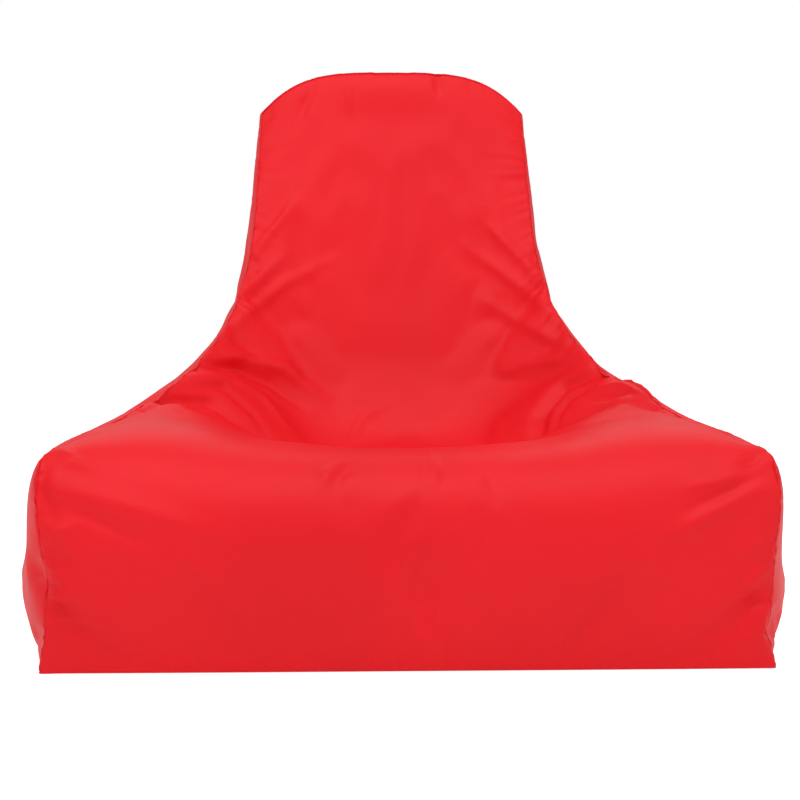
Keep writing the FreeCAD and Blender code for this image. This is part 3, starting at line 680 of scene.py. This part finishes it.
def finish_piece(obj, body, material, nodes=()):
    obj.data.materials.clear()
    obj.data.materials.append(MATERIALS[material])
    for polygon in obj.data.polygons:
        polygon.use_smooth = True
    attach(obj, body)
    if nodes:
        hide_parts(*nodes)
    return obj


# ------------------------------------------------------------------ cover, liner and beads as pieces
def eased(x):
    x = np.clip(x, 0.0, 1.0)
    return x * x * (3.0 - 2.0 * x)


def parted(patch):
    """The rear patch as a lower and an upper panel, with the zip's slot between them."""
    middle = BASE["rear"][:, patch.shape[1] // 2, 2]
    row = int(np.argmin(np.abs(middle - ZIP_HEIGHT)))
    lower, upper = patch[: row + 1].copy(), patch[row:].copy()
    for half, sign in ((lower, -1.0), (upper, 1.0)):
        gap = SLOT * eased((SLOT_END - np.abs(half[..., 0])) / (8 * MM))
        away = np.abs(half[..., 2] - ZIP_HEIGHT)
        half[..., 2] += sign * gap * np.clip(1.0 - away / (45 * MM), 0.0, 1.0)
        past = np.abs(half[..., 2] - ZIP_HEIGHT) - gap
        half[..., 1] -= EDGE_TUCK * np.exp(-np.maximum(past, 0.0) / (1.3 * MM)) * (away < 12 * MM)
    return lower, upper


def skin(name, patch, outward, thickness):
    obj = mesh_object(name, patch.reshape(-1, 3), patch_faces(patch.shape, outward))
    if thickness:
        shell = obj.modifiers.new("thickness", "SOLIDIFY")
        shell.thickness = thickness
        shell.offset = -1.0
    return obj


WHOLE_PANELS = ("front", "left", "right", "base", "top")


def sewn_panels(prefix, whole, lower, upper, material, thickness, fill):
    """The seven panels of the cover or the liner, each a piece. lower and upper are the rear's two."""
    made = [(f"{prefix}_{side}_panel", whole[side], OUTWARD[side]) for side in WHOLE_PANELS]
    made.append((f"{prefix}_rear_lower_panel", lower, OUTWARD["rear"]))
    made.append((f"{prefix}_rear_upper_panel", upper, OUTWARD["rear"]))
    for name, patch, outward in made:
        piece = skin(f"{name}_sewn", patch, outward, thickness)
        finish_piece(piece, BAG, material, [name])


sewn_panels("cover", COVER, *parted(COVER["rear"]), "cover_leather", 1.1 * MM, 0.9)

BASE_NORMALS = normals_of(BASE)


def lowest_around(height, reach):
    """A smooth height nowhere above the given one: the lowest within reach samples, then averaged."""
    for pick in (np.min, np.mean):
        for axis in (0, 1):
            margins = [(reach, reach) if a == axis else (0, 0) for a in (0, 1)]
            spread_out = np.pad(height, margins, mode="edge")
            windows = np.lib.stride_tricks.sliding_window_view(spread_out, 2 * reach + 1, axis=axis)
            height = pick(windows, axis=-1)
    return height


HEIGHTS = {name: ((COVER[name] - BASE[name]) * BASE_NORMALS[name]).sum(-1) for name in ORDER}
HEIGHTS = joined_at_borders({name: lowest_around(height, 3) for name, height in HEIGHTS.items()}, min)


def leaning(name):
    """The patch's normals, turned near its borders towards the seams' own directions."""
    normal = BASE_NORMALS[name].copy()
    down, across = lengths_along(BASE[name], 0), lengths_along(BASE[name], 1)
    borders = [
        (down, normal[:1].copy()),
        (down[-1:] - down, normal[-1:].copy()),
        (across, normal[:, :1].copy()),
        (across[:, -1:] - across, normal[:, -1:].copy()),
    ]
    for distance, edge in borders:
        weight = np.exp(-((distance / (16 * MM)) ** 2))[..., None]
        normal = normal * (1 - weight) + edge * weight
    return normal / np.linalg.norm(normal, axis=2, keepdims=True)


def pulled_in(inset, rear_inset):
    """The bag's surface that far inside the cover, with the cover's folds smoothed away."""
    result = {}
    for name in ORDER:
        depth = np.full(HEIGHTS[name].shape, rear_inset if name == "rear" else inset)
        depth[[0, -1]] = inset
        depth[:, [0, -1]] = inset
        result[name] = BASE[name] + leaning(name) * (HEIGHTS[name] - depth)[..., None]
    return result


def thinned(patch):
    rows = np.unique(np.concatenate([np.arange(0, patch.shape[0], 3), [patch.shape[0] - 1]]))
    columns = np.unique(np.concatenate([np.arange(0, patch.shape[1], 3), [patch.shape[1] - 1]]))
    return patch[np.ix_(rows, columns)]


LINER = {name: thinned(patch) for name, patch in pulled_in(5.5 * MM, 8.0 * MM).items()}
liner_rear = LINER["rear"]
liner_heights = liner_rear[:, liner_rear.shape[1] // 2, 2]
seam_row = int(np.argmin(np.abs(liner_heights - LINER_ZIP_HEIGHT)))
sewn_panels("liner", LINER, liner_rear[: seam_row + 1], liner_rear[seam_row:], "liner_cloth", 0.4 * MM, 0.8)

FILL = {name: thinned(patch) for name, patch in pulled_in(8.5 * MM, 12.5 * MM).items()}
vertices, faces = [], []
for name, patch in FILL.items():
    faces += patch_faces(patch.shape, OUTWARD[name], len(vertices))
    vertices += list(patch.reshape(-1, 3))
beads = mesh_object("bead_fill_shape", vertices, faces)
joined = bmesh.new()
joined.from_mesh(beads.data)
bmesh.ops.remove_doubles(joined, verts=joined.verts, dist=0.05 * MM)
joined.to_mesh(beads.data)
joined.free()
finish_piece(beads, BAG, "beads", ["bead_fill"])


# ------------------------------------------------------------------ tubes and threads
def tube(path, radius, sides):
    """Vertices and faces of a round tube along a path, with closed ends."""
    path = np.array(path)
    tangents = np.gradient(path, axis=0)
    tangents /= np.linalg.norm(tangents, axis=1, keepdims=True)
    side = np.cross(tangents, [0.0, 1.0, 0.0])
    weak = np.linalg.norm(side, axis=1) < 0.2
    side[weak] = np.cross(tangents[weak], [0.0, 0.0, 1.0])
    side /= np.linalg.norm(side, axis=1, keepdims=True)
    other = np.cross(tangents, side)
    angle = np.linspace(0, 2 * np.pi, sides, endpoint=False)
    ring = side[:, None] * np.cos(angle)[:, None] + other[:, None] * np.sin(angle)[:, None]
    points = (path[:, None] + ring * radius).reshape(-1, 3)
    quads = []
    for n in range(len(path) - 1):
        for k in range(sides):
            a, b = n * sides + k, n * sides + (k + 1) % sides
            quads.append([a, b, b + sides, a + sides])
    last = (len(path) - 1) * sides
    caps = [list(range(sides))[::-1], [last + k for k in range(sides)]]
    return points, quads + caps


def merged(name, parts):
    vertices, faces = [], []
    for points, polygons in parts:
        start = len(vertices)
        vertices += [tuple(p) for p in points]
        faces += [[v + start for v in polygon] for polygon in polygons]
    return mesh_object(name, vertices, faces)


def stitch(start, end, lift, radius=0.24 * MM):
    """One sewn stitch: a short thread that arches out of the cloth and dives back at both ends."""
    share = np.linspace(0, 1, 6)[:, None]
    arch = np.sin(np.pi * share) ** 0.5
    path = np.array(start) + (np.array(end) - np.array(start)) * share + np.array(lift) * (arch - 0.45)
    return tube(path, radius, 6)


# ------------------------------------------------------------------ zips
def on_zip(x, across, out):
    """A point of the cover's zip: along it, down across it and out of the bag."""
    return np.stack([x, np.full_like(x, ZIP_FACE) + out, np.full_like(x, ZIP_HEIGHT) - across], axis=-1)


def coil(side):
    """One row of the nylon coil: a flattened helix whose heads reach the middle of the zip."""
    pitch, wire = 1.45 * MM, 0.34 * MM
    turns = int(606 * MM / pitch)
    angle = np.arange(turns * 8 + 1) * (2 * np.pi / 8)
    x = -303 * MM + angle / (2 * np.pi) * pitch + (0.25 * pitch if side > 0 else -0.25 * pitch)
    across = side * (1.72 * MM + 1.30 * MM * np.cos(angle))
    out = 1.08 * MM + 0.66 * MM * np.sin(angle)
    return tube(on_zip(x, across, out), wire, 5)


for side, word in ((-1, "upper"), (1, "lower")):
    row = merged(f"cover_zip_{word}_coil_wound", [coil(side)])
    finish_piece(row, BAG, "cover_zip_coil", [f"cover_zip_{word}_coil"])

for word, height in (("lower", ZIP_HEIGHT - SLOT - 3.4 * MM), ("upper", ZIP_HEIGHT + SLOT + 3.4 * MM)):
    threads = []
    for x in np.arange(-306, 306, 4.0) * MM:
        threads.append(stitch((x, REAR_FACE, height), (x + 3.3 * MM, REAR_FACE, height), (0, 0.42 * MM, 0)))
    finish_piece(merged(f"zip_topstitch_{word}", threads), BAG, "thread")
bars = []
for x in (-314 * MM, 314 * MM):
    for n in range(16):
        z = ZIP_HEIGHT + (n - 7.5) * 0.55 * MM
        start = (x - 1.6 * MM, REAR_FACE - 0.3 * MM, z)
        end = (x + 1.6 * MM, REAR_FACE - 0.3 * MM, z + 0.2 * MM)
        bars.append(stitch(start, end, (0, 0.5 * MM, 0)))
finish_piece(merged("zip_bartacks", bars), BAG, "thread")


# ------------------------------------------------------------------ grab loop
LOOP_LINE = Vector((0.0, 0.3258, 0.776))
DROP = math.radians(58)
OUT = np.array([0.0, math.cos(DROP), -math.sin(DROP)])
ACROSS_LOOP = np.array([0.0, math.sin(DROP), math.cos(DROP)])


def loop_point(reach, height, x):
    return np.array(LOOP_LINE) + OUT * reach + ACROSS_LOOP * height + np.array([x, 0.0, 0.0])


def loop_path():
    """The strap's middle line as (reach, height): out along one leg, round the end and back."""
    radius, far, root, half = 14.2 * MM, 92 * MM, 3.0 * MM, 1.25 * MM
    stitched = 20 * MM
    slant = far - stitched
    lean = math.asin((radius - half) / slant)
    touch = (far - radius * math.sin(lean), radius * math.cos(lean))
    leg = [(root + (stitched - root) * s, half) for s in np.linspace(0, 1, 8)]
    ease = []
    for s in np.linspace(0.06, 1, 16):
        height = half + (touch[1] - half) * (0.35 * s * s + 0.65 * s)
        ease.append((stitched + (touch[0] - stitched) * s, height))
    round_end = [
        (far + radius * math.sin(a), radius * math.cos(a)) for a in np.linspace(-lean, math.pi / 2, 14)[1:]
    ]
    upper = leg + ease + round_end
    return upper + [(reach, -height) for reach, height in upper[-2::-1]]


strap_rows = []
for n, (reach, height) in enumerate(loop_path()):
    half_width = 19.4 * MM + 0.125 * MM * math.sin(n * 0.55)
    row = []
    for share in np.linspace(-1, 1, 17):
        cup = 0.5 * MM * (share * share - 0.4) * (1 if height >= 0 else -1)
        row.append(loop_point(reach, height - cup, share * half_width))
    strap_rows.append(row)
strap_rows = np.array(strap_rows)
strap = skin("grab_loop_strap", strap_rows, 1.0, 2.1 * MM)
strap.modifiers["thickness"].offset = 0.0
edge = strap.modifiers.new("edge", "BEVEL")
edge.width = 0.6 * MM
edge.segments = 3
edge.limit_method = "ANGLE"
finish_piece(strap, LOOP, "cover_leather", ["grab_loop"])

loop_threads = []
path = loop_path()
for sign in (-1, 1):
    reaches = np.arange(5, 84, 3.6) * MM
    heights = np.interp(reaches, [p[0] for p in path[:24]], [p[1] for p in path[:24]])
    for face in (1, -1):
        for r, h in zip(reaches, heights):
            h2 = np.interp(r + 3 * MM, [p[0] for p in path[:24]], [p[1] for p in path[:24]])
            a = loop_point(r, face * (h + 1.0 * MM), sign * 16.2 * MM)
            b = loop_point(r + 3 * MM, face * (h2 + 1.0 * MM), sign * 16.2 * MM)
            loop_threads.append(stitch(a, b, ACROSS_LOOP * face * 0.45 * MM))
for x0, r0, x1, r1 in ((-15, 6, 15, 6), (-15, 18, 15, 18), (-15, 6, 15, 18), (-15, 18, 15, 6)):
    length = math.hypot(x1 - x0, r1 - r0)
    count = int(length / 3.6)
    for n in range(count):
        s, e = n / count, (n + 0.84) / count
        a = loop_point((r0 + (r1 - r0) * s) * MM, 2.3 * MM, (x0 + (x1 - x0) * s) * MM)
        b = loop_point((r0 + (r1 - r0) * e) * MM, 2.3 * MM, (x0 + (x1 - x0) * e) * MM)
        loop_threads.append(stitch(a, b, ACROSS_LOOP * 0.45 * MM))
finish_piece(merged("grab_loop_stitching", loop_threads), LOOP, "thread")

# The strap's tail, sewn into the top seam
tail_rows = []
seam_point = COVER["top"][COVER["top"].shape[0] // 2, -1]
for s in np.linspace(0, 1, 8):
    start = np.array([0.0, seam_point[1] - 1.5 * MM, seam_point[2] - 2.0 * MM])
    arch = math.sin(math.pi * s) * MM
    middle = start * (1 - s) + (np.array(LOOP_LINE) + OUT * 1.0 * MM) * s + [0, 0.6 * arch, 1.2 * arch]
    tail_rows.append([middle + [x, 0, 0] for x in np.linspace(-19.2, 19.2, 9) * MM])
tail = skin("grab_loop_tail", np.array(tail_rows), 1.0, 2.2 * MM)
tail.modifiers["thickness"].offset = 0.0
finish_piece(tail, BAG, "cover_leather")

# ------------------------------------------------------------------ care label
fold = np.array([0.4422, 0.4058, 0.034])
turn = math.radians(15)
leaf_out = np.array([math.cos(turn), math.sin(turn), 0.0])
leaf_side = np.array([-math.sin(turn), math.cos(turn), 0.0])
leaf_rows = []
for u in np.linspace(0, 1, 30):
    row = []
    for v in np.linspace(0, 1, 20):
        curl = 1.6 * MM * math.sin(2.6 * u) * (0.6 + 0.4 * math.sin(3 * v))
        curl += 0.5 * MM * math.sin(9 * v + 4 * u) * u
        row.append(fold + leaf_out * (0.8 + 38 * u) * MM + leaf_side * curl + np.array([0, 0, 52 * MM * v]))
    leaf_rows.append(row)
leaf = skin("care_label_leaf", np.array(leaf_rows), 1.0, 0.45 * MM)
leaf.modifiers["thickness"].offset = 0.0
finish_piece(leaf, LABEL, "label_cloth", ["care_label"])

# The label's root, sewn into the seam between the rear and the right side
seam = COVER["rear"][:, -1]
seam = seam[seam[:, 2] < 0.2]
root_rows = []
for v in np.linspace(0, 1, 20):
    z = fold[2] + 52 * MM * v
    seam_x = np.interp(z, seam[:, 2], seam[:, 0])
    seam_y = np.interp(z, seam[:, 2], seam[:, 1])
    inside = np.array([seam_x - 1.5 * MM, seam_y - 0.8 * MM, z])
    outside = fold + leaf_out * 1.0 * MM + np.array([0, 0, 52 * MM * v])
    root_rows.append([inside + (outside - inside) * u for u in np.linspace(0, 1, 6)])
root = skin("care_label_root", np.array(root_rows), 1.0, 0.45 * MM)
root.modifiers["thickness"].offset = 0.0
finish_piece(root, BAG, "label_cloth")

# ------------------------------------------------------------------ hard pieces that keep their CAD shape
for name, node in frame["nodes"].items():
    if node.hide_render:
        continue
    slot = next(s["material_slot"] for s in frame["record"]["subparts"] if s["node"] == name)
    node.data.materials.clear()
    node.data.materials.append(MATERIALS[slot])
    if slot == "zip_metal":
        rounding = node.modifiers.new("rounding", "BEVEL")
        rounding.width = 0.22 * MM
        rounding.segments = 3
        rounding.limit_method = "ANGLE"
        rounding.angle_limit = math.radians(35)

# ------------------------------------------------------------------ floor, light and camera
corners = [(x, y, -0.4 * MM) for x, y in ((-9, -9), (9, -9), (9, 9), (-9, 9))]
floor = mesh_object("floor", corners, [[0, 1, 2, 3]])
paint, tree, shader = node_tree("pale_floor")
tones = ramp(tree, noise(tree, 1.2), [(0.3, (0.74, 0.74, 0.74)), (0.7, (0.76, 0.76, 0.76))])
tree.links.new(tones, shader.inputs["Base Color"])
shader.inputs["Roughness"].default_value = 0.9
shader.inputs["Specular IOR Level"].default_value = 0.1
shader.inputs["Emission Color"].default_value = (1, 1, 1, 1)
lit = add(tree, "ShaderNodeLightPath").outputs["Is Camera Ray"]
tree.links.new(spread(tree, lit, 0.24, 0.85), shader.inputs["Emission Strength"])
floor.data.materials.append(paint)


def area_light(name, place, target, size, watts):
    light = bpy.data.lights.new(name, "AREA")
    light.shape = "RECTANGLE"
    light.size, light.size_y = size
    light.energy = watts
    obj = bpy.data.objects.new(name, light)
    obj.location = place
    obj.rotation_euler = (Vector(target) - Vector(place)).to_track_quat("-Z", "Y").to_euler()
    bpy.context.scene.collection.objects.link(obj)


area_light("key", (-1.9, -2.6, 2.7), (0, 0, 0.3), (2.4, 2.4), 24)
area_light("fill", (2.5, -2.5, 2.0), (0, 0, 0.3), (2.4, 2.4), 16)
area_light("over", (0.0, -1.3, 3.3), (0, 0.1, 0.35), (2.8, 2.8), 52)
area_light("left side", (-2.7, 0.9, 1.2), (0, 0.1, 0.4), (1.4, 1.8), 9)
area_light("right side", (2.7, 0.9, 1.2), (0, 0.1, 0.4), (1.4, 1.8), 9)
area_light("rear", (0.0, 2.8, 2.6), (0, 0, 0.4), (3.0, 1.6), 12)
world = bpy.data.worlds.new("studio")
bpy.context.scene.world = world
world.use_nodes = True
sky = world.node_tree.nodes["Background"]
sky.inputs["Color"].default_value = (1, 1, 1, 1)
seen = world.node_tree.nodes.new("ShaderNodeLightPath").outputs["Is Camera Ray"]
world.node_tree.links.new(spread(world.node_tree, seen, 0.44, 1.0), sky.inputs["Strength"])

AZIMUTH, ELEVATION, DISTANCE = math.radians(-2.124), math.radians(4.0), 2.8795
AIM = Vector((0.0026, 0.0, 0.3041))
level = Vector((math.sin(AZIMUTH), -math.cos(AZIMUTH), 0.0))
back = level * math.cos(ELEVATION) + Vector((0.0, 0.0, math.sin(ELEVATION)))
lens = bpy.data.cameras.new("camera")
lens.sensor_width = 36.0
lens.lens = 92.7963
camera = bpy.data.objects.new("camera", lens)
camera.location = AIM + back * DISTANCE
camera.rotation_euler = (-back).to_track_quat("-Z", "Y").to_euler()
bpy.context.scene.collection.objects.link(camera)
bpy.context.scene.camera = camera
bpy.context.scene.view_settings.view_transform = "Standard"
bpy.context.scene.view_settings.look = "None"
